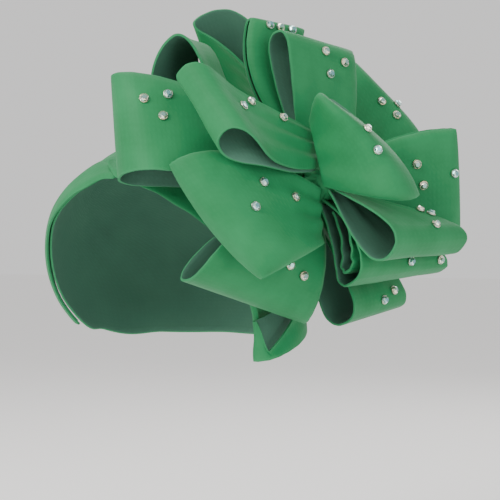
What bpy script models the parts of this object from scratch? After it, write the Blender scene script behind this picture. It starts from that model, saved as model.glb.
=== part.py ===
# Tied gele head tie: a close turban crown with crossed brow wraps, and on the wearer's
# left a large bow of looped ribbon set with studs. Metres, +Z up, face towards -Y,
# origin at the middle of the head at brow height.
import math

import bmesh
import bpy
from mathutils import Matrix, Vector
from mathutils.bvhtree import BVHTree

# Cloth and the clearances between pieces
CLOTH = 0.0020
STUD_GAP = 0.0003
WRAP_GAP = 0.0006
ROOT_GAP = 0.0008
TAIL_GAP = 0.0038
LEG_GAP = 0.0012

# Turban crown: half sizes of its outer face, and the height of its widest level
CROWN_HALF_WIDTH = 0.080
CROWN_HALF_LENGTH = 0.096
CROWN_RISE = 0.084
CROWN_MIDDLE = -0.015
CROWN_COLUMNS = 36
CROWN_ROWS = 9

# Height of the crown's edge: (degrees from the brow, share of CROWN_RISE)
EDGE_HEIGHTS = (
    (0, 0.50),
    (20, 0.42),
    (36, 0.29),
    (50, 0.13),
    (62, -0.05),
    (78, -0.56),
    (100, -0.76),
    (140, -0.80),
    (180, -0.80),
)

# Wraps that cross over the brow. They start WRAP_CROSSING degrees past its middle, end
# WRAP_REACH degrees round, and hang WRAP_DROP below the crown's edge.
WRAP_HEIGHT = 0.024
WRAP_DROP = 0.0024
WRAP_CROSSING = 9
WRAP_REACH = 84
WRAP_CLIMB = 0.35
WRAP_BLEND = 22
WRAP_COLUMNS = 22
WRAP_ROWS = 3

# Height of a wrap: (share of the way round, share of WRAP_HEIGHT)
WRAP_HEIGHTS = (
    (0.00, 0.70),
    (0.35, 1.00),
    (0.85, 0.45),
    (1.00, 0.45),
)

# Bow: the middle of its knot from the crown's side, front and top, and the way it faces
BOW_STAND = 0.0354
BOW_SETBACK = 0.0986
BOW_DROP = 0.0310
BOW_TURN = 27
BOW_REACH = 0.100

# Knot, with the stalk that carries it, which joins it at a share of its length
KNOT_LENGTH = 0.072
KNOT_RADIUS = 0.0165
KNOT_SHOULDER = -0.10
KNOT_END = 0.47
KNOT_RINGS = 8
KNOT_PLEATS = 8
PLEAT_POINTS = 3
PLEAT_DEPTH = 0.0014
STALK_RADIUS = 0.0125
STALK_SHARE = -0.30
STALK_NECK = 0.4

# Loops: steps along and across the cloth, degrees left open at the root, pleats at the
# root, and how round the fold is
LOOP_STEPS = 18
LOOP_STRIPS = 6
LOOP_START = 7
LOOP_PLEATS = 3
FOLD_ROUND = 0.8

# One row a loop. near and far are the ends of its fold, and bend is how far its middle
# strays from straight, all as (right, up, out) shares of BOW_REACH. root is where it
# leaves the knot: degrees round it, a share of KNOT_LENGTH, and how far it is pushed in
# as a share of KNOT_RADIUS. spread is what the gathers leave of its width there, from the
# near edge to the far one, as near and far are given. flare is how soon it widens, puff
# the opening at each edge as a share of BOW_REACH, swell how far out along the loop the
# opening is widest, and round how far the middle of the fold stands out past its ends.
LOOP_COLUMNS = (
    "name", "near", "far", "root", "spread", "flare", "puff", "swell", "bend", "round",
)
LOOPS = (
    ("brow", (-1.31, 0.01, 0.50), (-1.37, 0.66, 0.36), (170, 0.16, 0.055),
     (0.03, 0.16, -0.04), 1.8, (0.26, 0.22), 1.2, (0, 0.03, 0.10), 0),
    ("round", (-1.09, 0.84, 0.20), (-0.78, 0.82, -0.24), (128, -0.04, 0),
     (0.05, 0.04, -0.11), 1.4, (0.40, 0.34), 2.6, (-0.16, -0.18, -0.04), 0),
    ("roll", (-0.71, 0.23, 0.90), (-0.93, 0.69, 0.72), (113, 0.43, -0.55),
     (-0.03, 0.24, 0), 2.0, (0.27, 0.24), 7.0, (0, 0, 0.10), 0),
    ("fan", (-0.98, 0.08, 0.74), (-0.42, -0.62, 0.72), (258, 0.44, -0.79),
     (0.02, -0.35, 0), 2.0, (0.10, 0.16), 1.0, (0, -0.03, 0.12), 0.05),
    ("cheek", (-0.90, -0.64, 0.45), (-0.14, -0.92, 0.09), (228, 0.02, 0),
     (0.16, -0.15, -0.12), 2.0, (0.27, 0.16), 1.4, (-0.01, 0, 0.14), 0),
    ("cone", (-0.81, 1.14, -0.52), (-0.66, 0.68, -0.84), (115, -0.45, 0.11),
     (-0.01, 0, -0.07), 1.3, (0.27, 0.12), 1.3, (0.04, 0.18, -0.14), 0),
    ("peak", (-0.52, 1.09, -0.14), (-0.14, 1.04, -0.34), (99, -0.24, 0),
     (0.11, 0.02, -0.07), 1.8, (0.12, 0.10), 1.2, (-0.15, 0, 0.03), 0),
    ("crest", (-0.32, 0.98, 0.07), (0.18, 0.88, -0.22), (90, -0.04, 0),
     (0.34, -0.04, -0.09), 2.0, (0.24, 0.18), 2.4, (0, 0, 0), 0),
    ("back", (0.22, 0.85, -0.60), (0.67, 0.36, -0.60), (45, -0.38, 0),
     (0.14, -0.14, 0), 1.8, (0.16, 0.16), 1.2, (0, 0, 0), 0),
    ("middle", (-0.02, 0.52, 0.44), (0.57, -0.10, 0.41), (113, 0.537, -0.80),
     (0.09, -0.41, 0), 1.6, (0.16, 0.16), 1.6, (0.05, 0.05, 0.10), 0.06),
    ("flat", (0.88, 0.36, -0.20), (0.92, -0.30, -0.35), (7, -0.1, 0),
     (0.03, -0.26, -0.06), 2.0, (0.14, 0.14), 1.2, (0, 0, 0), 0),
    ("curl", (0.39, -0.46, 0.52), (0.91, -0.42, 0), (-35, 0.3, 0),
     (0.05, 0.07, -0.13), 1.2, (0.22, 0.18), 1.2, (0, 0, 0), 0),
    ("fold", (0.15, -0.66, 0.30), (0.81, -0.58, -0.30), (-54, 0.04, 0),
     (0.12, 0.09, -0.15), 1.2, (0.27, 0.18), 1.2, (0, 0, 0), 0),
    ("low", (0.13, -0.93, 0), (0.54, -0.83, -0.45), (-85, -0.42, 0),
     (0.12, 0.01, -0.14), 1.6, (0.26, 0.16), 1.6, (0, 0, 0), 0),
)

# The wrap's tail behind the left ear, as a loop whose root lies on the crown: degrees
# from the brow, and height as a share of CROWN_RISE.
TAIL = (
    "tail", (-0.43, -1.18, 0.05), (-0.45, -0.92, 0.04),
    (118, -0.50), (-0.02, 0.26, -0.01), 1.0, (0.12, 0.06), 1.0, (0.10, 0, 0.03), 0,
)

# Studs: where they sit on each loop, as shares of the way from its root to its fold and
# from its near edge to its far one. They stand on the leg that looks along STUD_LOOK.
STUD_WIDTH = 0.0066
STUD_HEIGHT = 0.0032
STUD_SIDES = 8
STUD_RINGS = ((0.92, 0.0), (1.0, 0.35), (0.52, 1.0))
STUD_LOOK = (0, 0.2, 1)
STUDS = (
    ("brow", ((0.87, 0.76), (0.77, 0.86), (0.78, 0.60))),
    ("roll", ((0.62, 0.74), (0.56, 0.90), (0.30, 0.80))),
    ("fan", ((0.50, 0.25), (0.26, 0.35), (0.60, 0.50))),
    ("cheek", ((0.52, 0.55), (0.60, 0.70))),
    ("peak", ((0.95, 0.30), (0.95, 0.50), (0.95, 0.72))),
    ("crest", ((0.88, 0.45), (0.82, 0.72), (0.70, 0.50))),
    ("back", ((0.78, 0.42), (0.92, 0.55), (0.80, 0.65))),
    ("middle", ((0.93, 0.42), (0.80, 0.62))),
    ("flat", ((0.60, 0.30), (0.93, 0.40), (0.65, 0.52))),
    ("curl", ((0.60, 0.80), (0.72, 0.88), (0.85, 0.70))),
    ("fold", ((0.75, 0.60), (0.90, 0.85))),
    ("low", ((0.80, 0.70), (0.80, 0.45))),
)

LEG_HALF = (CLOTH + LEG_GAP) / 2
BOW_MIDDLE = Vector((
    CROWN_HALF_WIDTH + BOW_STAND,
    BOW_SETBACK - CROWN_HALF_LENGTH,
    CROWN_MIDDLE + CROWN_RISE - BOW_DROP,
))

GREEN = (0.06, 0.36, 0.15)
SILVER = (0.75, 0.80, 0.75)


def new_material(name, colour, roughness, metallic):
    material = bpy.data.materials.new(name)
    material.use_nodes = True
    shader = material.node_tree.nodes["Principled BSDF"]
    shader.inputs["Base Color"].default_value = (*colour, 1.0)
    shader.inputs["Roughness"].default_value = roughness
    shader.inputs["Metallic"].default_value = metallic
    return material


def add_object(name, mesh, material):
    data = bpy.data.meshes.new(name)
    mesh.to_mesh(data)
    mesh.free()
    data.materials.append(material)
    obj = bpy.data.objects.new(name, data)
    bpy.context.scene.collection.objects.link(obj)
    return obj


def add_sheet(name, mesh):
    """A smooth sheet of cloth, given its thickness by Solidify."""
    obj = add_object(name, mesh, new_material(name + "_cloth", GREEN, 0.75, 0.0))
    obj.data.shade_smooth()
    wall = obj.modifiers.new("wall", "SOLIDIFY")
    wall.thickness = CLOTH
    wall.offset = 0.0
    return obj


def grid_sheet(name, points):
    """A sheet through rows of points."""
    mesh = bmesh.new()
    rows = [[mesh.verts.new(point) for point in row] for row in points]
    for first, second in zip(rows, rows[1:]):
        for j in range(len(first) - 1):
            mesh.faces.new((first[j], second[j], second[j + 1], first[j + 1]))
    return add_sheet(name, mesh)


def add_loft(name, rings, material):
    """A closed solid through rings of points, with a flat face at each end."""
    mesh = bmesh.new()
    rows = [[mesh.verts.new(point) for point in ring] for ring in rings]
    for first, second in zip(rows, rows[1:]):
        for j in range(len(first)):
            k = (j + 1) % len(first)
            mesh.faces.new((first[j], first[k], second[k], second[j]))
    mesh.faces.new(reversed(rows[0]))
    mesh.faces.new(rows[-1])
    bmesh.ops.recalc_face_normals(mesh, faces=mesh.faces)
    return add_object(name, mesh, material)


def table_slope(table, row):
    """Slope of the curve through a two-column table at one of its rows, level at both ends."""
    if row in (0, len(table) - 1):
        return 0.0
    return (table[row + 1][1] - table[row - 1][1]) / (table[row + 1][0] - table[row - 1][0])


def read_table(table, place):
    """Value of the smooth curve through a two-column table at a place."""
    row = 1
    while row < len(table) - 1 and place > table[row][0]:
        row += 1
    (start, low), (end, high) = table[row - 1], table[row]
    span = end - start
    share = (place - start) / span
    left = low + span * table_slope(table, row - 1) * share
    right = high - span * table_slope(table, row) * (1 - share)
    ease = share * share * (3 - 2 * share)
    return left * (1 - ease) + right * ease


def edge_height(angle):
    """Height of the crown's lower edge at an angle in degrees from the brow."""
    return CROWN_RISE * read_table(EDGE_HEIGHTS, abs((angle + 180) % 360 - 180))


def crown_point(angle, height, stand):
    """Point outside the crown's outer face, at degrees from the brow to the left."""
    turn = math.radians(angle)
    share = (height - CROWN_MIDDLE) / (CROWN_RISE + stand)
    level = math.sqrt(max(0.0, 1 - share * share))
    across = (CROWN_HALF_WIDTH + stand) * math.sin(turn) * level
    ahead = (CROWN_HALF_LENGTH + stand) * math.cos(turn) * level
    return Vector((across, -ahead, height))


def make_crown():
    mesh = bmesh.new()
    top = mesh.verts.new((0, 0, CROWN_MIDDLE + CROWN_RISE - CLOTH / 2))
    rings = []
    for row in range(1, CROWN_ROWS + 1):
        ring = []
        for column in range(CROWN_COLUMNS):
            angle = 360 * column / CROWN_COLUMNS
            lowest = math.acos((edge_height(angle) - CROWN_MIDDLE) / CROWN_RISE)
            height = CROWN_MIDDLE + (CROWN_RISE - CLOTH / 2) * math.cos(lowest * row / CROWN_ROWS)
            ring.append(mesh.verts.new(crown_point(angle, height, -CLOTH / 2)))
        rings.append(ring)
    for column in range(CROWN_COLUMNS):
        after = (column + 1) % CROWN_COLUMNS
        mesh.faces.new((top, rings[0][column], rings[0][after]))
        for upper, lower in zip(rings, rings[1:]):
            mesh.faces.new((upper[column], lower[column], lower[after], upper[after]))
    add_sheet("crown", mesh)


def make_wrap(name, side, layer):
    """A band on the crown along its edge; layer 1 lies over layer 0 where they cross."""
    rows = []
    for step in range(WRAP_COLUMNS + 1):
        share = step / WRAP_COLUMNS
        angle = -WRAP_CROSSING + (WRAP_REACH + WRAP_CROSSING) * share
        past_brow = max(0.0, -angle / WRAP_CROSSING)
        foot = edge_height(max(0.0, angle)) + WRAP_CLIMB * WRAP_HEIGHT * past_brow - WRAP_DROP
        tall = WRAP_HEIGHT * read_table(WRAP_HEIGHTS, share)
        over = min(1.0, max(0.0, 1 - (angle - WRAP_CROSSING) / WRAP_BLEND))
        stand = CLOTH / 2 + WRAP_GAP + layer * (CLOTH + WRAP_GAP) * over
        heights = [foot + tall * strip / WRAP_ROWS for strip in range(WRAP_ROWS + 1)]
        rows.append([crown_point(side * angle, height, stand) for height in heights])
    if side < 0:
        rows.reverse()
    grid_sheet(name, rows)


def bow_axes():
    """Rows are the world directions of the bow's right, up and out."""
    turn = math.radians(BOW_TURN)
    right = (math.cos(turn), math.sin(turn), 0)
    out = (math.sin(turn), -math.cos(turn), 0)
    return Matrix((right, (0, 0, 1), out))


def from_bow(vector):
    """World direction of a vector in the bow's own right, up and out."""
    return bow_axes().transposed() @ vector


def knot_radius(share):
    """Radius of the knot, from a share of -0.5 at its back to 0.5 at its domed front."""
    ahead = max(0.0, share - KNOT_SHOULDER) / (0.5 - KNOT_SHOULDER)
    return KNOT_RADIUS * math.sqrt(max(0.0, 1 - ahead * ahead))


def pleated_ring(middle, across, upward, radius):
    points = []
    sides = PLEAT_POINTS * KNOT_PLEATS
    for side in range(sides):
        turn = 2 * math.pi * side / sides
        edge = radius + PLEAT_DEPTH * math.cos(KNOT_PLEATS * turn)
        points.append(middle + (across * math.cos(turn) + upward * math.sin(turn)) * edge)
    return points


def make_knot():
    """The gathered middle of the bow, with the stalk that joins it to the crown."""
    material = new_material("knot_cloth", GREEN, 0.75, 0.0)
    across, upward, out = bow_axes()
    rings = []
    for step in range(KNOT_RINGS + 1):
        share = (KNOT_END + 0.5) * step / KNOT_RINGS - 0.5
        middle = BOW_MIDDLE + out * share * KNOT_LENGTH
        rings.append(pleated_ring(middle, across, upward, knot_radius(share)))
    knot = add_loft("knot", rings, material)
    join = BOW_MIDDLE + out * STALK_SHARE * KNOT_LENGTH
    foot = crown_point(90, BOW_MIDDLE.z, 0)
    slope_across = foot.x / CROWN_HALF_WIDTH ** 2
    slope_up = (foot.z - CROWN_MIDDLE) / CROWN_RISE ** 2
    slope = Vector((slope_across, 0, slope_up)).normalized()
    axis = (join - foot).normalized()
    side = Vector((0, 1, 0))
    rings = [pleated_ring(foot + slope * STUD_GAP, side, slope.cross(side), STALK_RADIUS)]
    for share in (STALK_NECK, 1.0):
        rings.append(pleated_ring(foot.lerp(join, share), side, axis.cross(side), STALK_RADIUS))
    stalk = add_loft("stalk", rings, material)
    stalk.hide_render = True
    stalk.display_type = "WIRE"
    union = knot.modifiers.new("stalk", "BOOLEAN")
    union.operation = "UNION"
    union.object = stalk


def knot_root(row):
    """Where a loop leaves the knot and which way, in the bow's own directions."""
    angle, share, push = row["root"]
    turn = math.radians(angle)
    away = Vector((math.cos(turn), math.sin(turn), 0))
    root = away * (knot_radius(share) + PLEAT_DEPTH + ROOT_GAP - push * KNOT_RADIUS)
    root.z = share * KNOT_LENGTH
    tip = (Vector(row["near"]) + Vector(row["far"])) * BOW_REACH / 2
    straight = (tip - root).normalized().dot(away)
    slant = math.sqrt(1 - straight * straight)
    return root + away * slant * (LEG_HALF + CLOTH / 2)


def crown_root(row):
    """Where the tail lies against the crown, in the bow's own directions."""
    angle, share = row["root"]
    root = crown_point(angle, share * CROWN_RISE, LEG_HALF + CLOTH + TAIL_GAP)
    return bow_axes() @ (root - BOW_MIDDLE)


def loop_place(row, u, v):
    """Middle of the cloth: u runs out along one leg and back along the other, v across."""
    root = row["start"]
    near = Vector(row["near"]) * BOW_REACH
    far = Vector(row["far"]) * BOW_REACH
    reach = (near + far) / 2 - root
    width = far - near
    normal = reach.cross(width).normalized()
    start = math.radians(LOOP_START)
    angle = start + (math.pi - 2 * start) * u
    along = (math.sin(angle) - math.sin(start)) / (1 - math.sin(start))
    across = (Vector(row["spread"]) * BOW_REACH).lerp(width, 1 - (1 - along) ** row["flare"])
    swell = row["swell"]
    widest = swell / (swell + FOLD_ROUND)
    peak = widest ** (swell / 2) * (1 - widest) ** (FOLD_ROUND / 2)
    near_puff, far_puff = row["puff"]
    puff = (near_puff + (far_puff - near_puff) * v) * BOW_REACH / 2
    half = LEG_HALF + puff * math.sin(angle) ** swell / peak
    lift = math.copysign(abs(math.cos(angle)) ** FOLD_ROUND, math.cos(angle)) * half
    gathered = max(0.0, 1 - Vector(row["spread"]).length * BOW_REACH / width.length)
    pleat = PLEAT_DEPTH * gathered * (1 - along) ** 2 * math.cos(LOOP_PLEATS * 2 * math.pi * v)
    bend = Vector(row["bend"]) * BOW_REACH * 4 * along * (1 - along)
    bulge = reach.normalized() * row["round"] * BOW_REACH * along * 4 * v * (1 - v)
    middle = root + reach * along + across * (v - 0.5) + bend + bulge
    return BOW_MIDDLE + from_bow(middle + normal * (lift + pleat))


def make_loop(name, values, root_of):
    row = dict(zip(LOOP_COLUMNS, values))
    row["start"] = root_of(row)
    rows = []
    for step in range(LOOP_STEPS + 1):
        shares = [strip / LOOP_STRIPS for strip in range(LOOP_STRIPS + 1)]
        rows.append([loop_place(row, step / LOOP_STEPS, v) for v in shares])
    return row, grid_sheet(name, rows)


def leg_place(along, leg):
    """The u of a share of the way from the root to the fold, on one of the two legs."""
    start = math.radians(LOOP_START)
    angle = math.asin(math.sin(start) + along * (1 - math.sin(start)))
    share = (angle - start) / (math.pi - 2 * start)
    return share if leg > 0 else 1 - share


def cloth_normal(row, u, v):
    """The way that the outer face looks."""
    step = 0.01
    ahead = loop_place(row, u + step, v) - loop_place(row, u - step, v)
    over = loop_place(row, u, v + step) - loop_place(row, u, v - step)
    return ahead.cross(over).normalized()


def make_stud(name, seat, facing):
    """A faceted stone with a flat table, standing on the cloth at seat."""
    turned = facing.to_track_quat("Z", "Y").to_matrix()
    rings = []
    for width, height in STUD_RINGS:
        ring = []
        for side in range(STUD_SIDES):
            turn = 2 * math.pi * side / STUD_SIDES
            radius = width * STUD_WIDTH / 2
            spot = Vector((radius * math.cos(turn), radius * math.sin(turn), height * STUD_HEIGHT))
            ring.append(seat + turned @ spot)
        rings.append(ring)
    add_loft(name, rings, new_material(name + "_stone", SILVER, 0.15, 0.6))


def make_studs(loops):
    graph = bpy.context.evaluated_depsgraph_get()
    look = from_bow(Vector(STUD_LOOK))
    for name, places in STUDS:
        row, obj = loops[name]
        cloth = BVHTree.FromObject(obj, graph)
        for number, (along, v) in enumerate(places, 1):
            legs = [leg_place(along, leg) for leg in (1, -1)]
            u = max(legs, key=lambda leg_u: cloth_normal(row, leg_u, v).dot(look))
            normal = cloth_normal(row, u, v)
            above = loop_place(row, u, v) + normal * 2 * CLOTH
            seat, facing = cloth.ray_cast(above, -normal)[:2]
            make_stud(f"stud_{name}_{number}", seat + facing * STUD_GAP, facing)


for old in list(bpy.data.objects):
    bpy.data.objects.remove(old)
make_crown()
make_wrap("wrap_left", 1, 0)
make_wrap("wrap_right", -1, 1)
make_knot()
made = {}
for values in LOOPS:
    made[values[0]] = make_loop("loop_" + values[0], values, knot_root)
make_loop("nape_tail", TAIL, crown_root)
make_studs(made)
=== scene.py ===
# Tied gele head tie: cloth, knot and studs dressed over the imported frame.
import math

import bmesh
import bpy
from mathutils import Matrix, Vector
from mathutils.bvhtree import BVHTree


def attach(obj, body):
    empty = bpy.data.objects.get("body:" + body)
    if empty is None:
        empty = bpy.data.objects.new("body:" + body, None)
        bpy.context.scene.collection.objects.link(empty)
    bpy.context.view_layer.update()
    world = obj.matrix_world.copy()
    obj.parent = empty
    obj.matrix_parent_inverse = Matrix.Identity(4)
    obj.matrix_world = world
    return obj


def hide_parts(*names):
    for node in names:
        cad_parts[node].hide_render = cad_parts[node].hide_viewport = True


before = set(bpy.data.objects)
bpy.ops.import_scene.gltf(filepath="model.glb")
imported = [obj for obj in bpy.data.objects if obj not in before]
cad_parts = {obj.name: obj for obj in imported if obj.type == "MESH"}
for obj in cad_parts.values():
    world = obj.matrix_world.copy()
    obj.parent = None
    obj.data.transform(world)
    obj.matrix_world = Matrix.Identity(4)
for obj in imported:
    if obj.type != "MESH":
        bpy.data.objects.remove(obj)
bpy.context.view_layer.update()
print("frame loaded:", len(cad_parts), "nodes")

cloth = {"thickness": 0.0016, "edgeRound": 0.0006, "edgeSegments": 2, "edgeAngle": 50, "smoothAngle": 42}
millimetres = 1000
bow = {"middle": Vector((0.1154, 0.0026, 0.038)), "turn": 27, "reach": 0.100}
bowRight = Vector((math.cos(math.radians(bow["turn"])), math.sin(math.radians(bow["turn"])), 0))
bowOut = Vector((bowRight.y, -bowRight.x, 0))
bowUp = Vector((0, 0, 1))


def fromBow(vector):
    return bowRight * vector[0] + bowUp * vector[1] + bowOut * vector[2]


# Camera and light

view = {"distance": 1.10, "right": 0.0545, "height": -0.0069, "lens": 114.84, "sensor": 36.0}


def addCamera():
    data = bpy.data.cameras.new("camera")
    data.lens = view["lens"]
    data.sensor_width = view["sensor"]
    camera = bpy.data.objects.new("camera", data)
    bpy.context.scene.collection.objects.link(camera)
    camera.location = bowRight * view["right"] + bowUp * view["height"] + bowOut * view["distance"]
    camera.rotation_euler = (math.pi / 2, 0, math.radians(bow["turn"]))
    bpy.context.scene.camera = camera


lamps = {
    # name: (right, up, out), size, watts, colour
    "key": ((-0.95, 0.75, 1.05), 0.70, 20.0, (1.0, 0.98, 0.95)),
    "fill": ((1.10, 0.35, 1.20), 1.20, 7.0, (0.95, 0.97, 1.0)),
    "top": ((-0.30, 1.40, -0.20), 0.90, 9.0, (1.0, 1.0, 0.98)),
    "rear": ((0.70, 0.90, -1.20), 0.90, 6.0, (1.0, 0.98, 0.96)),
}
studio = {
    "air": (0.93, 0.92, 0.915), "airStrength": 0.95, "paper": (0.95, 0.94, 0.93),
    "floorHeight": -0.25, "floorSize": 24.0, "paperRoughness": 0.9, "lampAim": 0.6,
}


def addLamps():
    target = bow["middle"] * studio["lampAim"]
    for name, (place, size, watts, colour) in lamps.items():
        data = bpy.data.lights.new(name, "AREA")
        data.shape = "DISK"
        data.size = size
        data.energy = watts
        data.color = colour
        lamp = bpy.data.objects.new(name, data)
        bpy.context.scene.collection.objects.link(lamp)
        lamp.location = fromBow(place)
        lamp.rotation_euler = (lamp.location - target).to_track_quat("Z", "Y").to_euler()


def addStudio():
    world = bpy.data.worlds.new("studio")
    world.use_nodes = True
    air = world.node_tree.nodes["Background"]
    air.inputs["Color"].default_value = (*studio["air"], 1)
    air.inputs["Strength"].default_value = studio["airStrength"]
    bpy.context.scene.world = world
    bpy.ops.mesh.primitive_plane_add(size=studio["floorSize"], location=(0, 0, studio["floorHeight"]))
    floor = bpy.context.active_object
    floor.name = "floor"
    paper = bpy.data.materials.new("paper")
    paper.use_nodes = True
    shader = paper.node_tree.nodes["Principled BSDF"]
    shader.inputs["Base Color"].default_value = (*studio["paper"], 1)
    shader.inputs["Roughness"].default_value = studio["paperRoughness"]
    floor.data.materials.append(paper)


bpy.ops.object.select_all(action="DESELECT")
addCamera()
addLamps()
addStudio()
print("camera, lamps and floor set")


# Materials

def newGroup(name, inputs, outputs):
    group = bpy.data.node_groups.new(name, "ShaderNodeTree")
    for label, kind, value in inputs:
        socket = group.interface.new_socket(name=label, in_out="INPUT", socket_type=kind)
        if value is not None:
            socket.default_value = value
    for label in outputs:
        group.interface.new_socket(name=label, in_out="OUTPUT", socket_type="NodeSocketFloat")
    return group, group.nodes.new("NodeGroupInput"), group.nodes.new("NodeGroupOutput")


def addNode(tree, kind, settings=None, links=None):
    # settings fill unlinked sockets by name or number, links join sockets
    node = tree.nodes.new(kind)
    for key, value in (settings or {}).items():
        if isinstance(key, str) and hasattr(node, key) and key not in node.inputs:
            setattr(node, key, value)
        else:
            node.inputs[key].default_value = value
    for key, source in (links or {}).items():
        tree.links.new(source, node.inputs[key])
    return node


knit = {
    "pitch": 0.0011, "depth": 0.25, "bumpHeight": 0.0002,
    "repeat": 0.159,  # a wave texture at scale 1 repeats after this many units
    "wale": {"bands_direction": "Y", "Scale": 0.5, "Distortion": 0.6},
    "course": {"bands_direction": "X", "Scale": 0.7, "Distortion": 0.8},
    "fuzz": {"Scale": 1.6, "Detail": 2.0},
}


def makeKnitGrain():
    # fine knitted ribs: wales down the ribbon, courses across it
    group, start, end = newGroup("knitGrain", (
        ("Vector", "NodeSocketVector", None),
        ("Pitch", "NodeSocketFloat", 0.001),
        ("Unevenness", "NodeSocketFloat", 1.0),
    ), ("Height", "Tone"))
    count = addNode(group, "ShaderNodeMath", {"operation": "DIVIDE", 0: knit["repeat"]},
                    {1: start.outputs["Pitch"]})
    scaled = addNode(group, "ShaderNodeVectorMath", {"operation": "SCALE"},
                     {0: start.outputs["Vector"], "Scale": count.outputs[0]})
    threads = {"wave_type": "BANDS", "Detail": 1.0, "Detail Scale": 2.0}
    place = {"Vector": scaled.outputs[0]}
    wale, course = (addNode(group, "ShaderNodeTexWave", {**threads, **knit[name]}, place)
                    for name in ("wale", "course"))
    fuzz = addNode(group, "ShaderNodeTexNoise", knit["fuzz"], place)
    ribs = addNode(group, "ShaderNodeMath", {"operation": "MULTIPLY"},
                   {0: wale.outputs["Fac"], 1: course.outputs["Fac"]})
    rough = addNode(group, "ShaderNodeMath", {"operation": "MULTIPLY"},
                    {0: fuzz.outputs["Fac"], 1: start.outputs["Unevenness"]})
    height = addNode(group, "ShaderNodeMath", {"operation": "ADD"}, {0: ribs.outputs[0], 1: rough.outputs[0]})
    tone = addNode(group, "ShaderNodeMapRange", {"From Min": 0.3, "From Max": 1.5},
                   {"Value": height.outputs[0]})
    group.links.new(height.outputs[0], end.inputs["Height"])
    group.links.new(tone.outputs[0], end.inputs["Tone"])
    return group


def makeDyeShade():
    # slow changes of tone, as in piece-dyed cloth that has been handled
    group, start, end = newGroup("dyeShade", (
        ("Vector", "NodeSocketVector", None),
        ("Patch", "NodeSocketFloat", 0.03),
        ("Contrast", "NodeSocketFloat", 1.0),
    ), ("Tone",))
    count = addNode(group, "ShaderNodeMath", {"operation": "DIVIDE", 0: 1.0}, {1: start.outputs["Patch"]})
    wide = addNode(group, "ShaderNodeTexNoise", {"Detail": 3.0, "Roughness": 0.55},
                   {"Vector": start.outputs["Vector"], "Scale": count.outputs[0]})
    spread = addNode(group, "ShaderNodeMath", {"operation": "SUBTRACT", 1: 0.5}, {0: wide.outputs["Fac"]})
    scaled = addNode(group, "ShaderNodeMath", {"operation": "MULTIPLY"},
                     {0: spread.outputs[0], 1: start.outputs["Contrast"]})
    tone = addNode(group, "ShaderNodeMath", {"operation": "ADD", 1: 0.5, "use_clamp": True},
                   {0: scaled.outputs[0]})
    group.links.new(tone.outputs[0], end.inputs["Tone"])
    return group


def makeCutEdge():
    # 1 at the raw cut edge, fading to 0 within Reach millimetres; it masks the painted edge highlight
    group, start, end = newGroup("cutEdge", (
        ("Distance", "NodeSocketFloat", 0.0),
        ("Reach", "NodeSocketFloat", 1.5),
    ), ("Mask",))
    share = addNode(group, "ShaderNodeMath", {"operation": "DIVIDE"},
                    {0: start.outputs["Distance"], 1: start.outputs["Reach"]})
    mask = addNode(group, "ShaderNodeMath", {"operation": "SUBTRACT", 0: 1.0, "use_clamp": True},
                   {1: share.outputs[0]})
    group.links.new(mask.outputs[0], end.inputs["Mask"])
    return group


knitGrain = makeKnitGrain()
dyeShade = makeDyeShade()
cutEdge = makeCutEdge()

finishes = {
    # name: dark, light, painted edge highlight, roughness, sheen
    "face": ((0.009, 0.150, 0.046), (0.022, 0.232, 0.082), (0.030, 0.256, 0.096), 0.62, 0.05),
    "inside": ((0.054, 0.146, 0.100), (0.072, 0.190, 0.126), (0.068, 0.200, 0.126), 0.78, 0.04),
    "rim": ((0.012, 0.155, 0.050), (0.024, 0.218, 0.082), (0.030, 0.234, 0.092), 0.80, 0.05),
}
# edgeReach and edgeFade set how far and how strongly the painted edge highlight reaches in
clothLook = {
    "patch": 0.028, "contrast": 1.3, "knitFade": 0.18, "edgeReach": 1.6, "edgeFade": 0.55,
    "roughnessSpan": 0.06, "sheenRoughness": 0.45, "sheenTint": (0.70, 0.95, 0.80, 1), "specular": 0.20,
}


def mixColour(tree, factor, first, second):
    node = addNode(tree, "ShaderNodeMix", {"data_type": "RGBA"})
    tree.links.new(factor, node.inputs[0])
    for socket, value in ((node.inputs[6], first), (node.inputs[7], second)):
        if isinstance(value, tuple):
            socket.default_value = (*value, 1)
        else:
            tree.links.new(value, socket)
    return node.outputs[2]


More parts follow.
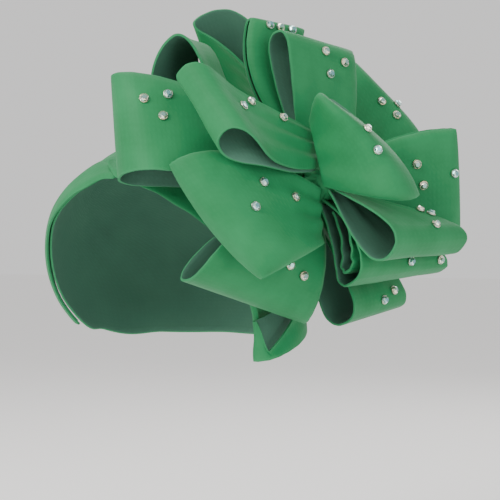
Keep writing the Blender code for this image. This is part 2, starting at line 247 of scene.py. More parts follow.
def makeClothMaterial(name):
    # edge is the lighter colour of the painted edge highlight
    dark, light, edge, roughness, sheen = finishes[name]
    material = bpy.data.materials.new("cloth_" + name)
    material.use_nodes = True
    tree = material.node_tree
    shader = tree.nodes["Principled BSDF"]
    place = addNode(tree, "ShaderNodeTexCoord")
    spread = addNode(tree, "ShaderNodeUVMap", {"uv_map": "ribbon"})
    distance = addNode(tree, "ShaderNodeAttribute", {"attribute_name": "edge"})
    grain = addNode(tree, "ShaderNodeGroup", {"node_tree": knitGrain})
    grain.inputs["Pitch"].default_value = knit["pitch"]
    tree.links.new(spread.outputs["UV"], grain.inputs["Vector"])
    shade = addNode(tree, "ShaderNodeGroup", {"node_tree": dyeShade})
    shade.inputs["Patch"].default_value = clothLook["patch"]
    shade.inputs["Contrast"].default_value = clothLook["contrast"]
    tree.links.new(place.outputs["Object"], shade.inputs["Vector"])
    # painted highlight: the colour is drawn towards the lighter edge colour near every cut edge
    edgeHighlight = addNode(tree, "ShaderNodeGroup", {"node_tree": cutEdge})
    edgeHighlight.inputs["Reach"].default_value = clothLook["edgeReach"]
    tree.links.new(distance.outputs["Fac"], edgeHighlight.inputs["Distance"])
    dyed = mixColour(tree, shade.outputs["Tone"], dark, light)
    fade = addNode(tree, "ShaderNodeMath", {"operation": "MULTIPLY", 1: clothLook["knitFade"]},
                   {0: grain.outputs["Tone"]})
    knitted = mixColour(tree, fade.outputs[0], dyed, light)
    edgeHighlightShare = addNode(tree, "ShaderNodeMath", {"operation": "MULTIPLY", 1: clothLook["edgeFade"]},
                     {0: edgeHighlight.outputs["Mask"]})
    tree.links.new(mixColour(tree, edgeHighlightShare.outputs[0], knitted, edge), shader.inputs["Base Color"])
    span = clothLook["roughnessSpan"]
    gloss = addNode(tree, "ShaderNodeMapRange", {"To Min": roughness + span, "To Max": roughness - span},
                    {"Value": shade.outputs["Tone"]})
    tree.links.new(gloss.outputs[0], shader.inputs["Roughness"])
    shader.inputs["Sheen Weight"].default_value = sheen
    shader.inputs["Sheen Roughness"].default_value = clothLook["sheenRoughness"]
    shader.inputs["Sheen Tint"].default_value = clothLook["sheenTint"]
    shader.inputs["Specular IOR Level"].default_value = clothLook["specular"]
    bump = addNode(tree, "ShaderNodeBump", {"Strength": knit["depth"], "Distance": knit["bumpHeight"]},
                   {"Height": grain.outputs["Height"]})
    tree.links.new(bump.outputs["Normal"], shader.inputs["Normal"])
    return material


clothMaterials = [makeClothMaterial(name) for name in ("face", "inside", "rim")]
print("cloth materials made")


# Cloth sheets

def gridSheet(name, points, closed=False, tip=None):
    # points[i][j] is the middle of the cloth: i runs along it and j across it, or round it if closed
    mesh = bmesh.new()
    uv = mesh.loops.layers.uv.new("ribbon")
    edge = mesh.verts.layers.float.new("edge")
    rows = [[mesh.verts.new(point) for point in row] for row in points]
    along = [0.0]
    across = []
    middle = len(points[0]) // 2
    for first, second in zip(points, points[1:]):
        along.append(along[-1] + (second[middle] - first[middle]).length)
    for row in points:
        spans = [0.0]
        for first, second in zip(row, row[1:]):
            spans.append(spans[-1] + (second - first).length)
        across.append(spans)
    for i, row in enumerate(rows):
        for j, vert in enumerate(row):
            if closed:
                vert[edge] = millimetres * (along[-1] - along[i])
            else:
                vert[edge] = millimetres * min(across[i][j], across[i][-1] - across[i][j])
    for i in range(len(rows) - 1):
        for j in range(len(rows[0]) if closed else len(rows[0]) - 1):
            k = (j + 1) % len(rows[0])
            corners = ((i, j, j), (i + 1, j, j), (i + 1, k, j + 1), (i, k, j + 1))
            face = mesh.faces.new([rows[a][b] for a, b, _ in corners])
            for loop, (a, b, c) in zip(face.loops, corners):
                width = across[a][-1] / (len(rows[0]) - 1)
                loop[uv].uv = (along[a], width * c)
    if tip is not None:
        point = mesh.verts.new(tip)
        point[edge] = millimetres * along[-1]
        for j in range(len(rows[0])):
            k = (j + 1) % len(rows[0])
            mesh.faces.new((point, rows[0][j], rows[0][k]))
    data = bpy.data.meshes.new(name)
    mesh.to_mesh(data)
    area = sum(face.calc_area() for face in mesh.faces)
    mesh.free()
    obj = bpy.data.objects.new(name, data)
    bpy.context.scene.collection.objects.link(obj)
    for material in clothMaterials:
        data.materials.append(material)
    return obj, along[-1], max(spans[-1] for spans in across), area


def applyModifiers(obj):
    bpy.ops.object.select_all(action="DESELECT")
    obj.select_set(True)
    bpy.context.view_layer.objects.active = obj
    for modifier in list(obj.modifiers):
        bpy.ops.object.modifier_apply(modifier=modifier.name)


def finishCloth(obj):
    # walls the sheet, rounds its cut edges and applies both
    wall = obj.modifiers.new("wall", "SOLIDIFY")
    wall.thickness = cloth["thickness"]
    wall.offset = 0
    wall.material_offset = 1
    wall.material_offset_rim = 2
    edge = obj.modifiers.new("edge", "BEVEL")
    edge.width = cloth["edgeRound"]
    edge.segments = cloth["edgeSegments"]
    edge.limit_method = "ANGLE"
    edge.angle_limit = math.radians(cloth["edgeAngle"])
    applyModifiers(obj)
    bpy.ops.object.shade_smooth_by_angle(angle=math.radians(cloth["smoothAngle"]))


def declareSheet(obj, node):
    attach(obj, "root")
    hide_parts(node)


# Crown

crown = {
    "halfWidth": 0.080, "halfLength": 0.096, "rise": 0.084, "middle": -0.015,
    "columns": 144, "rows": 40, "flat": (0.27, 0.29), "area": 0.056,
    # degrees from the brow, share of the rise
    "edge": ((0, 0.50), (20, 0.42), (36, 0.29), (50, 0.13), (62, -0.05), (78, -0.56), (100, -0.76),
             (140, -0.80), (180, -0.80)),
}


def tableSlope(table, row):
    # level at both ends of the curve
    if row in (0, len(table) - 1):
        return 0.0
    return (table[row + 1][1] - table[row - 1][1]) / (table[row + 1][0] - table[row - 1][0])


def readTable(table, place):
    row = 1
    while row < len(table) - 1 and place > table[row][0]:
        row += 1
    (start, low), (end, high) = table[row - 1], table[row]
    span = end - start
    share = (place - start) / span
    left = low + span * tableSlope(table, row - 1) * share
    right = high - span * tableSlope(table, row) * (1 - share)
    ease = share * share * (3 - 2 * share)
    return left * (1 - ease) + right * ease


def edgeHeight(angle):
    return crown["rise"] * readTable(crown["edge"], abs((angle + 180) % 360 - 180))


def crownPoint(angle, height, stand):
    turn = math.radians(angle)
    share = (height - crown["middle"]) / (crown["rise"] + stand)
    level = math.sqrt(max(0, 1 - share * share))
    across = (crown["halfWidth"] + stand) * math.sin(turn) * level
    ahead = (crown["halfLength"] + stand) * math.cos(turn) * level
    return Vector((across, -ahead, height))


drape = {
    # shallow drag lines that run over the head towards the bow's stalk
    "foot": Vector((0.066, 0.002, 0.038)), "depth": 0.0011, "axisDrop": 0.02, "from": 0.05, "reach": 0.19,
    "lines": 9, "wander": 2.0, "fineLines": 17, "fineShare": 0.5, "edgeFade": 4, "tipFade": 5,
}


def drapeDepth(point, share):
    away = point - drape["foot"]
    turn = math.atan2(away.y, away.z + drape["axisDrop"])
    reach = min(1.0, away.length / drape["from"]) * max(0.0, 1 - away.length / drape["reach"])
    wave = math.sin(turn * drape["lines"] + drape["wander"] * math.sin(turn * 2 + 1.0))
    wave += drape["fineShare"] * math.sin(turn * drape["fineLines"] + 0.7)
    return drape["depth"] * reach * wave * min(1, drape["edgeFade"] * (1 - share), drape["tipFade"] * share)


def crownNormal(point):
    return Vector((point.x / crown["halfWidth"] ** 2, point.y / crown["halfLength"] ** 2,
                   (point.z - crown["middle"]) / crown["rise"] ** 2)).normalized()


def makeCrown():
    half = cloth["thickness"] / 2
    rings = []
    for row in range(1, crown["rows"] + 1):
        ring = []
        for column in range(crown["columns"]):
            angle = 360 * column / crown["columns"]
            lowest = math.acos((edgeHeight(angle) - crown["middle"]) / crown["rise"])
            share = row / crown["rows"]
            height = crown["middle"] + (crown["rise"] - half) * math.cos(lowest * share)
            point = crownPoint(angle, height, -half)
            ring.append(point + crownNormal(point) * drapeDepth(point, share))
        rings.append(ring)
    tip = Vector((0, 0, crown["middle"] + crown["rise"] - half))
    obj = gridSheet("turban_crown", rings, closed=True, tip=tip)[0]
    finishCloth(obj)
    declareSheet(obj, "crown")


# Wraps over the brow

wraps = {
    "gap": 0.0004, "height": 0.024, "drop": 0.0022, "reach": 84, "crossing": 9, "blend": 22,
    "columns": 120, "rows": 20, "roll": 0.0016, "rollPower": 0.7, "wave": 0.0005, "waves": (6, 5),
}
bands = {
    # from and span are degrees from the brow, climb is how far the start has risen, and heights
    # are (share of the length, share of the full height)
    "wrap_left_band": {"node": "wrap_left", "side": 1, "layer": 1.2, "from": -8, "climb": 0.42, "span": 12,
                       "heights": ((0.0, 0.12), (0.20, 0.75), (0.40, 1.00), (0.85, 0.45), (1.0, 0.10))},
    "wrap_right_band": {"node": "wrap_right", "side": -1, "layer": 0, "from": -9, "climb": 0.35, "span": 9,
                        "heights": ((0.0, 0.36), (0.20, 0.44), (0.45, 0.95), (0.85, 0.45), (1.0, 0.10))},
}


def makeWrap(name, band):
    rows = []
    for step in range(wraps["columns"] + 1):
        share = step / wraps["columns"]
        angle = band["from"] + (wraps["reach"] - band["from"]) * share
        rise = max(0.0, 1 - (angle - band["from"]) / band["span"])
        foot = edgeHeight(max(0.0, angle)) + band["climb"] * wraps["height"] * rise - wraps["drop"]
        tall = wraps["height"] * readTable(band["heights"], share)
        over = min(1.0, max(0.0, 1 - (angle - wraps["crossing"]) / wraps["blend"]))
        layer = cloth["thickness"] + wraps["gap"]
        stand = cloth["thickness"] / 2 + wraps["gap"] + band["layer"] * layer * over
        row = []
        for strip in range(wraps["rows"] + 1):
            v = strip / wraps["rows"]
            wave = wraps["wave"] * math.sin(wraps["waves"][0] * v + wraps["waves"][1] * share)
            roll = (wraps["roll"] + wave) * math.sin(math.pi * v) ** wraps["rollPower"]
            row.append(crownPoint(band["side"] * angle, foot + tall * v, stand + roll))
        rows.append(row)
    if band["side"] < 0:
        rows.reverse()
    obj, length, width, area = gridSheet(name, rows)
    finishCloth(obj)
    declareSheet(obj, band["node"])


makeCrown()
for name, band in bands.items():
    makeWrap(name, band)
print("crown and wraps made")


# Knot

knot = {
    "length": 0.072, "radius": 0.0165, "shoulder": -0.10, "end": 0.47, "steps": 40, "backRound": 6,
    "backRadius": 0.75, "pleats": 16, "pleatDepth": 0.0014, "pleatPower": 0.6, "pleatFade": 0.006,
    "stalkRadius": 0.0125, "stalkShare": -0.30, "stalkPleats": 12, "stalkSteps": 12, "stalkFlare": 0.12,
    "stalkWaist": 0.08, "sink": 0.0004, "sides": 96, "leastRadius": 0.0003, "voxel": 0.0009,
}


def knotRadius(share):
    ahead = max(0.0, share - knot["shoulder"]) / (0.5 - knot["shoulder"])
    return knot["radius"] * math.sqrt(max(0.0, 1 - ahead * ahead))


def pleatedTube(mesh, centres, side, up, radii, pleats):
    rows = []
    for centre, radius in zip(centres, radii):
        depth = knot["pleatDepth"] * min(1, radius / knot["pleatFade"])
        row = []
        for k in range(knot["sides"]):
            turn = 2 * math.pi * k / knot["sides"]
            fold = abs(math.cos(pleats * turn / 2)) ** knot["pleatPower"] * 2 - 1
            edge = max(knot["leastRadius"], radius + depth * fold)
            row.append(mesh.verts.new(centre + (side * math.cos(turn) + up * math.sin(turn)) * edge))
        rows.append(row)
    for first, second in zip(rows, rows[1:]):
        for k in range(knot["sides"]):
            m = (k + 1) % knot["sides"]
            mesh.faces.new((first[k], first[m], second[m], second[k]))
    mesh.faces.new(list(reversed(rows[0])))
    mesh.faces.new(rows[-1])


def addKnotCore(mesh):
    steps = knot["steps"]
    shares = [(knot["end"] + 0.5) * (1 - math.cos(math.pi * s / steps)) / 2 - 0.5 for s in range(steps + 1)]
    centres = [bow["middle"] + bowOut * share * knot["length"] for share in shares]
    radii = [knotRadius(share) * min(1, knot["backRadius"] + knot["backRound"] * (share + 0.5))
             for share in shares]
    pleatedTube(mesh, centres, bowRight, bowUp, radii, knot["pleats"])


def addStalk(mesh):
    steps = knot["stalkSteps"]
    foot = crownPoint(90, bow["middle"].z, knot["sink"])
    join = bow["middle"] + bowOut * knot["stalkShare"] * knot["length"]
    axis = (join - foot).normalized()
    up = axis.cross(Vector((0, 1, 0))).normalized()
    side = up.cross(axis).normalized()
    centres = [foot.lerp(join, s / steps) for s in range(steps + 1)]
    radii = [knot["stalkRadius"] * (1 + knot["stalkFlare"] * abs(2 * s / steps - 1) - knot["stalkWaist"])
             for s in range(steps + 1)]
    pleatedTube(mesh, centres, side, up, radii, knot["stalkPleats"])


def makeKnot():
    mesh = bmesh.new()
    addKnotCore(mesh)
    addStalk(mesh)
    bmesh.ops.recalc_face_normals(mesh, faces=mesh.faces)
    data = bpy.data.meshes.new("gathered_knot")
    mesh.to_mesh(data)
    mesh.free()
    obj = bpy.data.objects.new("gathered_knot", data)
    bpy.context.scene.collection.objects.link(obj)
    data.materials.append(clothMaterials[0])
    merge = obj.modifiers.new("merge", "REMESH")
    merge.mode = "VOXEL"
    merge.voxel_size = knot["voxel"]
    applyModifiers(obj)
    bpy.ops.object.shade_smooth()
    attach(obj, "root")
    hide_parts("knot")


makeKnot()
print("knot made")


# Ribbon loops

weave = {
    "start": 7, "legGap": 0.0016, "rootGap": 0.0008, "steps": 132, "strips": 32, "hemSpan": 0.26,
    "pleats": 3, "pleatDepth": 0.0020, "pleatFade": 1.6, "pleatSway": (0.5, 5),
    "ripple": 0.0010, "rippleWaves": ((2.3, 3.1), (4.1, -2.2)), "rippleShift": 1.7,
    "crumpleWaves": ((13, 9), (7, -14)), "fray": 0.00015, "frayWaves": (19, 11),
}
legHalf = (cloth["thickness"] + weave["legGap"]) / 2

# All lengths are shares of the bow's reach, as (right, up, out) where there are three.
# near and far are the ends of the fold, and spread is what the gathers leave of the width.
# root is degrees round the knot, a share of its length and a push inwards.
# puff is how wide the fold opens at its near and far ends, and a high neck closes it sooner.
# flare is how soon the width opens out, bend how far the middle strays, round how far the fold bows out.
# hem is how far each side is drawn shut, bow how far it strays by itself, and crumple is in metres.
# apart scales the gap between the legs, and from is the degrees of the turn that the knot hides.
# cut is how much of the second leg is cut away at the fold, and over what share of the length.

plainLoop = {
    "bend": (0, 0, 0), "round": 0, "hem": (0, 0), "bow": ((0, 0, 0), (0, 0, 0)), "crumple": 0,
    "apart": 1, "from": weave["start"], "cut": (0, 1),
}
loops = {
    "brow": {"near": (-1.31, 0.01, 0.50), "far": (-1.37, 0.66, 0.36), "root": (170, 0.16, 0.055),
             "spread": (0.03, 0.16, -0.04), "flare": 1.8, "puff": (0.36, 0.22), "neck": 0.9,
             "bend": (0, 0.03, 0.10), "hem": (0, 0.5), "bow": ((0, 0.03, 0), (0, 0.05, 0))},
    "round": {"near": (-1.04, 0.89, 0.20), "far": (-0.84, 0.87, -0.24), "root": (128, -0.04, 0),
              "spread": (0.05, 0.04, -0.11), "flare": 1.4, "puff": (0.44, 0.36), "neck": 1.5,
              "bend": (-0.16, -0.18, -0.04), "hem": (0, 1)},
    "roll": {"near": (-0.66, 0.25, 0.90), "far": (-0.92, 0.66, 0.72), "root": (113, 0.43, -0.55),
             "spread": (-0.03, 0.24, 0), "flare": 2.0, "puff": (0.20, 0.15), "neck": 14.0,
             "bend": (0, -0.02, 0.08), "bow": ((0, -0.05, 0), (0, 0.02, 0))},
    "fan": {"near": (-0.98, 0.08, 0.74), "far": (-0.42, -0.62, 0.72), "root": (258, 0.44, -0.79),
            "spread": (0.02, -0.35, 0), "flare": 2.0, "puff": (0.10, 0.16), "neck": 0.8,
            "bend": (0, -0.03, 0.12), "round": 0.05, "hem": (1, 1), "bow": ((0, 0.12, 0), (-0.02, 0.10, 0))},
    "cheek": {"near": (-0.90, -0.64, 0.45), "far": (-0.14, -0.92, 0.09), "root": (228, 0.02, 0),
              "spread": (0.16, -0.15, -0.12), "flare": 2.0, "puff": (0.27, 0.16), "neck": 0.9,
              "bend": (-0.01, 0, 0.14), "hem": (0, 0.8)},
    "cone": {"near": (-0.83, 1.17, -0.52), "far": (-0.66, 0.68, -0.84), "root": (115, -0.45, 0.11),
             "spread": (-0.01, 0, -0.07), "flare": 1.3, "puff": (0.27, 0.12), "neck": 1.0,
             "bend": (0.04, 0.18, -0.14)},
    "peak": {"near": (-0.50, 1.09, -0.14), "far": (-0.14, 1.04, -0.34), "root": (99, -0.24, 0),
             "spread": (0.24, 0.02, -0.12), "flare": 2.4, "puff": (0.12, 0.10), "neck": 0.9,
             "bend": (-0.13, 0, 0.03), "hem": (0.95, 0.8)},
    "crest": {"near": (-0.32, 0.98, 0.07), "far": (0.18, 0.88, -0.22), "root": (90, -0.04, 0),
              "spread": (0.34, -0.04, -0.09), "flare": 2.0, "puff": (0.21, 0.18), "neck": 1.6,
              "hem": (0, 0.9)},
    "back": {"near": (0.22, 0.85, -0.60), "far": (0.67, 0.36, -0.60), "root": (45, -0.38, 0),
             "spread": (0.14, -0.14, 0), "flare": 1.8, "puff": (0.16, 0.16), "neck": 0.9,
             "hem": (0.6, 0.6)},
    "middle": {"near": (0.01, 0.48, 0.44), "far": (0.57, -0.10, 0.41), "root": (113, 0.537, -0.80),
               "spread": (0.09, -0.41, 0), "flare": 1.6, "puff": (0.18, 0.18), "neck": 1.2,
               "bend": (0.05, 0.05, 0.10), "round": 0.09, "hem": (1, 1),
               "bow": ((-0.03, 0.03, 0), (0, -0.09, 0.03))},
    "flat": {"near": (0.88, 0.36, -0.20), "far": (0.92, -0.30, -0.35), "root": (7, -0.10, 0),
             "spread": (0.03, -0.26, -0.06), "flare": 2.0, "puff": (0.14, 0.14), "neck": 1.0,
             "hem": (1, 0.5)},
    "curl": {"near": (0.39, -0.46, 0.52), "far": (0.91, -0.42, 0), "root": (-35, 0.30, 0),
             "spread": (0.24, -0.06, -0.32), "flare": 1.2, "puff": (0.22, 0.18), "neck": 1.5},
    "fold": {"near": (0.15, -0.66, 0.30), "far": (0.81, -0.58, -0.30), "root": (-54, 0.04, 0),
             "spread": (0.31, -0.02, -0.42), "flare": 1.2, "puff": (0.20, 0.17), "neck": 1.2, "apart": 1.5,
             "bow": ((0.05, 0.03, 0), (0, 0, 0)), "crumple": 0.0005},
    "low": {"near": (0.13, -0.93, 0), "far": (0.54, -0.83, -0.45), "root": (-85, -0.42, 0),
            "spread": (0.22, 0.02, -0.16), "flare": 1.6, "puff": (0.26, 0.16), "neck": 1.4},
}
ply = {"near": (0.13, -0.585, 0.29), "far": (0.70, -0.52, -0.22), "root": (-54, 0.04, 0),
       "spread": (0.20, -0.02, -0.40), "flare": 1.2, "puff": (0.085, 0.08), "neck": 0.8, "apart": 0.7,
       "from": 15, "bow": ((0.05, 0.03, 0), (0, 0, 0)), "crumple": 0.0016}
tail = {"near": (-0.43, -1.18, 0.05), "far": (-0.45, -0.92, 0.04), "root": (118, -0.5),
        "spread": (-0.02, 0.26, -0.01), "flare": 1.0, "puff": (0.12, 0.06), "neck": 0.8,
        "bend": (0.1, 0, 0.03), "stand": 0.0038, "cut": (0.85, 0.6)}
for row in (*loops.values(), ply, tail):
    for key, value in plainLoop.items():
        row.setdefault(key, value)


def loopAngle(row, u):
    start = math.radians(row["from"])
    return start + (math.pi - 2 * start) * u


def openness(row, left, half):
    # share of a loop's opening at a distance from its fold: a round end, then a long neck
    if left < half:
        return math.sqrt(1 - (1 - left / half) ** 2)
    neck = (left - half) / (row["length"] - half)
    return (1 - min(1.0, neck) ** 2) ** row["neck"]


def hemClose(row, v):
    # how far the sides of a loop are drawn shut, as on a stuffed sleeve
    shut = 1.0
    for amount, distance in zip(row["hem"], (v, 1 - v)):
        reach = max(0.0, 1 - distance / weave["hemSpan"])
        shut *= 1 - amount * (1 - math.sqrt(1 - reach * reach))
    return shut


def knotRoot(row):
    angle, share, push = row["root"]
    turn = math.radians(angle)
    away = Vector((math.cos(turn), math.sin(turn), 0))
    root = away * (knotRadius(share) + knot["pleatDepth"] + weave["rootGap"] - push * knot["radius"])
    root.z = share * knot["length"]
    tip = (Vector(row["near"]) + Vector(row["far"])) * bow["reach"] / 2
    straight = (tip - root).normalized().dot(away)
    slant = math.sqrt(1 - straight * straight)
    return root + away * slant * (legHalf + cloth["thickness"] / 2)


def crownRoot(row):
    angle, share = row["root"]
    stand = legHalf + cloth["thickness"] + row["stand"]
    root = crownPoint(angle, share * crown["rise"], stand) - bow["middle"]
    return Vector((root.dot(bowRight), root.dot(bowUp), root.dot(bowOut)))


def pleatLift(row, kept, along, v):
    # pleats that run out from the gathers and fade towards the fold
    sway, turns = weave["pleatSway"]
    folds = math.cos(weave["pleats"] * 2 * math.pi * v + sway * math.sin(turns * v + row["seed"]))
    return weave["pleatDepth"] * max(0.0, 1 - kept) * (1 - along) ** weave["pleatFade"] * folds


def rippleLift(row, along, v):
    # slow waves of the cloth, strongest at the fold
    soft = weave["ripple"]
    shifts = (row["seed"], weave["rippleShift"] * row["seed"])
    for (over, out), shift in zip(weave["rippleWaves"], shifts):
        soft *= math.sin(over * v + out * along + shift)
    return soft * along ** 0.5


def crumpleLift(row, angle, v):
    (turnOne, overOne), (turnTwo, overTwo) = weave["crumpleWaves"]
    first = math.sin(turnOne * angle + overOne * v + row["seed"])
    return row["crumple"] * first * math.sin(turnTwo * angle + overTwo * v)


def loopPoint(row, u, v):
    # u runs out along one leg and back along the other, v from the near edge to the far one
    root = row["start"]
    near = Vector(row["near"]) * bow["reach"]
    far = Vector(row["far"]) * bow["reach"]
    reach = (near + far) / 2 - root
    width = far - near
    normal = reach.cross(width).normalized()
    least = math.sin(math.radians(weave["start"]))
    angle = loopAngle(row, u)
    along = min(1.0, max(0.0, (math.sin(angle) - least) / (1 - least)))
    turn = math.cos(angle)
    side = math.copysign(1, turn)
    spread = Vector(row["spread"]) * bow["reach"]
    across = spread.lerp(width, 1 - (1 - along) ** row["flare"])
    nearPuff, farPuff = row["puff"]
    puff = (nearPuff + (farPuff - nearPuff) * v) * bow["reach"] / 2
    row["length"] = reach.length
    shut = hemClose(row, v)
    full = openness(row, reach.length * (1 - along), puff + legHalf)
    leg = legHalf * row["apart"]
    lift = side * (puff * shut * full + leg * min(1.0, 3 * full + 4 * (1 - along)))
    lift += pleatLift(row, spread.length / width.length, along, v)
    lift += side * rippleLift(row, along, v) * min(1, 6 * abs(turn))
    lift += crumpleLift(row, angle, v) * along
    depth, span = row["cut"]
    v *= 1 - depth * min(1.0, 4 * max(0.0, -turn)) * max(0.0, 1 - (1 - along) / span)
    arch = 4 * along * (1 - along)
    bend = Vector(row["bend"]) * bow["reach"] * arch
    nearBow, farBow = (Vector(value) for value in row["bow"])
    bend += (nearBow * (1 - v) ** 2 + farBow * v ** 2) * bow["reach"] * arch
    bulge = reach.normalized() * row["round"] * bow["reach"] * along * 4 * v * (1 - v)
    frayOne, frayTwo = weave["frayWaves"]
    frayed = weave["fray"] * math.sin(frayOne * angle + row["seed"]) * math.sin(frayTwo * angle)
    ragged = width.normalized() * frayed * (2 * v - 1)
    middle = root + reach * along + across * (v - 0.5) + bend + bulge + ragged
    return bow["middle"] + fromBow(middle + normal * lift)


def makeLoop(name, node, row, rootOf, seed):
    row["start"] = rootOf(row)
    row["seed"] = seed
    steps, strips = weave["steps"], weave["strips"]
    points = [[loopPoint(row, i / steps, j / strips) for j in range(strips + 1)] for i in range(steps + 1)]
    obj, length, width, area = gridSheet(name, points)
    finishCloth(obj)
    declareSheet(obj, node)
    return obj


made = {}
for number, (name, row) in enumerate(loops.items()):
    made[name] = makeLoop("ribbon_" + name, "loop_" + name, row, knotRoot, number * 1.37)
makeLoop("ribbon_fold_ply", "loop_fold", ply, knotRoot, 16.1)
makeLoop("ribbon_tail", "nape_tail", tail, crownRoot, 0.4)
print("ribbons made:", len(made) + 1)


# Studs

stud = {
    "width": 0.0061, "gap": 0.0003, "look": (0, 0.2, 1), "twist": 1.3, "coolEvery": 5, "coolOnes": (1, 3),
    "sides": 8, "girdle": 0.86, "base": 0.0012, "facetStep": 0.381966, "smoothAngle": 35,
    "cuts": ((0.16, 0.0007), (0.20, 0.0006)),  # inset as a share of the radius, and rise
    "cupSides": 24, "cupDepth": 0.0013, "lip": 0.13, "hollow": 0.0004, "rim": 0.00018, "rimSegments": 2,
}
studPlaces = {
    # share of the way out along the loop, share across it
    "brow": ((0.87, 0.72), (0.74, 0.81), (0.78, 0.57)),
    "roll": ((0.63, 0.67), (0.50, 0.86), (0.25, 0.85)),
    "fan": ((0.43, 0.24), (0.22, 0.33), (0.63, 0.47)),
    "cheek": ((0.60, 0.62), (0.64, 0.77)),
    "peak": ((0.95, 0.30), (0.95, 0.50), (0.95, 0.72)),
    "crest": ((0.88, 0.50), (0.83, 0.76), (0.69, 0.54)),
    "back": ((0.80, 0.46), (0.95, 0.62), (0.82, 0.68)),
    "middle": ((0.84, 0.34), (0.69, 0.55)),
    "flat": ((0.57, 0.31), (0.92, 0.42), (0.62, 0.54)),
    "curl": ((0.50, 0.97), (0.60, 0.97), (0.84, 0.66)),
    "fold": ((0.90, 0.57), (0.92, 0.91)),
    "low": ((0.87, 0.76), (0.92, 0.54)),
}


stoneLook = {
    "name": "foiled_stone", "metal": 0.85, "patch": 0.002, "contrast": 1.0, "gloss": (0.06, 0.16),
    "warm": (1.0, 0.96, 0.84), "cool": (0.66, 0.88, 0.90), "coat": 1.0, "coatRoughness": 0.03,
    # where each facet colour starts, and the colour: the coating's own tints, painted glints and painted dark
    # reflections
    "coatGlintsAndReflections": ((0.0, (0.96, 0.94, 0.80)), (0.22, (0.26, 0.50, 0.50)), (0.38, (0.80, 0.90, 0.86)),
              (0.58, (0.97, 0.97, 0.94)), (0.76, (0.12, 0.24, 0.25)), (0.86, (0.56, 0.76, 0.72))),
}
cupLook = {
    "name": "stud_cup", "metal": 1.0, "patch": 0.0015, "contrast": 1.6, "gloss": (0.40, 0.22),
    "dark": (0.50, 0.47, 0.40), "light": (0.82, 0.79, 0.70),
}


def startMetal(look):
    # metal whose gloss follows the slow tone, which is handed back for its colour
    material = bpy.data.materials.new(look["name"])
    material.use_nodes = True
    tree = material.node_tree
    shader = tree.nodes["Principled BSDF"]
    shader.inputs["Metallic"].default_value = look["metal"]
    place = addNode(tree, "ShaderNodeTexCoord")
    shade = addNode(tree, "ShaderNodeGroup", {"node_tree": dyeShade})
    shade.inputs["Patch"].default_value = look["patch"]
    shade.inputs["Contrast"].default_value = look["contrast"]
    tree.links.new(place.outputs["Object"], shade.inputs["Vector"])
    low, high = look["gloss"]
    tone = shade.outputs["Tone"]
    gloss = addNode(tree, "ShaderNodeMapRange", {"To Min": low, "To Max": high}, {"Value": tone})
    tree.links.new(gloss.outputs[0], shader.inputs["Roughness"])
    return material, shader, tone


def makeStoneMaterial():
    material, shader = startMetal(stoneLook)[:2]
    tree = material.node_tree
    # each facet gets a fixed colour: partly the coating's tint, partly a painted glint or painted dark
    # reflection
    facet = addNode(tree, "ShaderNodeAttribute", {"attribute_name": "facet"})
    ramp = addNode(tree, "ShaderNodeValToRGB")
    ramp.color_ramp.interpolation = "CONSTANT"
    while len(ramp.color_ramp.elements) < len(stoneLook["coatGlintsAndReflections"]):
        ramp.color_ramp.elements.new(0.5)
    for element, (place, colour) in zip(ramp.color_ramp.elements, stoneLook["coatGlintsAndReflections"]):
        element.position = place
        element.color = (*colour, 1)
    tree.links.new(facet.outputs["Fac"], ramp.inputs["Fac"])
    tint = addNode(tree, "ShaderNodeAttribute", {"attribute_name": "tint"})
    dye = mixColour(tree, tint.outputs["Fac"], stoneLook["warm"], stoneLook["cool"])
    tinted = addNode(tree, "ShaderNodeMix", {"data_type": "RGBA", "blend_type": "MULTIPLY", 0: 1.0})
    tree.links.new(ramp.outputs["Color"], tinted.inputs[6])
    tree.links.new(dye, tinted.inputs[7])
    tree.links.new(tinted.outputs[2], shader.inputs["Base Color"])
    shader.inputs["Coat Weight"].default_value = stoneLook["coat"]
    shader.inputs["Coat Roughness"].default_value = stoneLook["coatRoughness"]
    return material


def makeCupMaterial():
    material, shader, tone = startMetal(cupLook)
    tree = material.node_tree
    colour = mixColour(tree, tone, cupLook["dark"], cupLook["light"])
    tree.links.new(colour, shader.inputs["Base Color"])
    return material


def selectFaces(obj, wanted):
    mesh = bmesh.from_edit_mesh(obj.data)
    for face in mesh.faces:
        face.select_set(False)
    for face in mesh.faces:
        if wanted(face):
            face.select_set(True)
    mesh.select_flush_mode()
    bmesh.update_edit_mesh(obj.data)


def addDrum(sides, radius, depth, height):
    # short cylinder in edit mode, with its top face selected
    bpy.ops.mesh.primitive_cylinder_add(vertices=sides, radius=radius, depth=depth, location=(0, 0, height))
    obj = bpy.context.active_object
    bpy.ops.object.mode_set(mode="EDIT")
    bpy.ops.mesh.select_mode(type="FACE")
    selectFaces(obj, lambda face: face.normal.z > 0.9)
    return obj


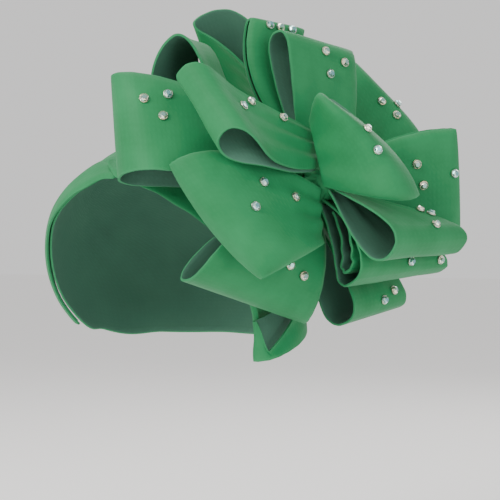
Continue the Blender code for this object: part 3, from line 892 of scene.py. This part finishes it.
def makeStud():
    # cut stone with a table and two rows of facets, in a low round cup with a rolled rim
    bpy.ops.object.select_all(action="DESELECT")
    radius = stud["width"] / 2
    stone = addDrum(stud["sides"], radius * stud["girdle"], stud["base"], stud["base"])
    for inset, rise in stud["cuts"]:
        bpy.ops.mesh.inset(thickness=radius * inset)
        bpy.ops.transform.translate(value=(0, 0, rise))
    bpy.ops.transform.rotate(value=math.pi / stud["sides"], orient_axis="Z", center_override=(0, 0, 0))
    bpy.ops.object.mode_set(mode="OBJECT")
    cup = addDrum(stud["cupSides"], radius, stud["cupDepth"], stud["cupDepth"] / 2)
    bpy.ops.mesh.inset(thickness=radius * stud["lip"])
    bpy.ops.transform.translate(value=(0, 0, -stud["hollow"]))
    bpy.ops.object.mode_set(mode="OBJECT")
    rim = cup.modifiers.new("rim", "BEVEL")
    rim.width = stud["rim"]
    rim.segments = stud["rimSegments"]
    rim.limit_method = "ANGLE"
    applyModifiers(cup)
    for obj in (stone, cup):
        bpy.ops.object.select_all(action="DESELECT")
        obj.select_set(True)
        bpy.context.view_layer.objects.active = obj
        bpy.ops.object.transform_apply(location=True, rotation=True, scale=True)
        obj.data.materials.append(stoneMaterial)
        obj.data.materials.append(cupMaterial)
        for face in obj.data.polygons:
            face.material_index = 0 if obj is stone else 1
    facet = stone.data.attributes.new("facet", "FLOAT", "FACE")
    for number, item in enumerate(facet.data):
        item.value = (number * stud["facetStep"]) % 1
    stone.data.attributes.new("tint", "FLOAT", "FACE")
    bpy.ops.object.select_all(action="DESELECT")
    cup.select_set(True)
    bpy.ops.object.shade_smooth_by_angle(angle=math.radians(stud["smoothAngle"]))
    stone.select_set(True)
    bpy.context.view_layer.objects.active = stone
    bpy.ops.object.join()
    stone.name = "stud_model"
    return stone


def legPlace(along, leg):
    start = math.radians(weave["start"])
    angle = math.asin(math.sin(start) + along * (1 - math.sin(start)))
    share = (angle - start) / (math.pi - 2 * start)
    return share if leg > 0 else 1 - share


def clothNormal(row, u, v):
    step = 0.01
    ahead = loopPoint(row, u + step, v) - loopPoint(row, u - step, v)
    over = loopPoint(row, u, v + step) - loopPoint(row, u, v - step)
    return ahead.cross(over).normalized()


def placeStud(model, name, number, count, seat, facing):
    turned = facing.to_track_quat("Z", "Y").to_matrix() @ Matrix.Rotation(stud["twist"] * count, 3, "Z")
    data = model.data.copy()
    data.transform(Matrix.Translation(seat + facing * stud["gap"] / 3) @ turned.to_4x4())
    for item in data.attributes["tint"].data:
        item.value = 1.0 if count % stud["coolEvery"] in stud["coolOnes"] else 0.0
    stone = bpy.data.objects.new("stone_" + name + "_" + str(number), data)
    bpy.context.scene.collection.objects.link(stone)
    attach(stone, "root")
    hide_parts("stud_" + name + "_" + str(number))


def placeStuds(model):
    # each stud sits on the side of its loop that faces out of the bow
    look = fromBow(stud["look"])
    count = 0
    for name, places in studPlaces.items():
        row = loops[name]
        surface = BVHTree.FromObject(made[name], bpy.context.evaluated_depsgraph_get())
        for number, (along, v) in enumerate(places, 1):
            shares = (legPlace(along, leg) for leg in (1, -1))
            u = max(shares, key=lambda share: clothNormal(row, share, v).dot(look))
            normal = clothNormal(row, u, v)
            above = loopPoint(row, u, v) + normal * 2 * cloth["thickness"]
            seat, facing = surface.ray_cast(above, -normal)[:2]
            placeStud(model, name, number, count, seat, facing)
            count += 1
    return count


stoneMaterial = makeStoneMaterial()
cupMaterial = makeCupMaterial()
studModel = makeStud()
studCount = placeStuds(studModel)
bpy.data.objects.remove(studModel)
print("studs set:", studCount)
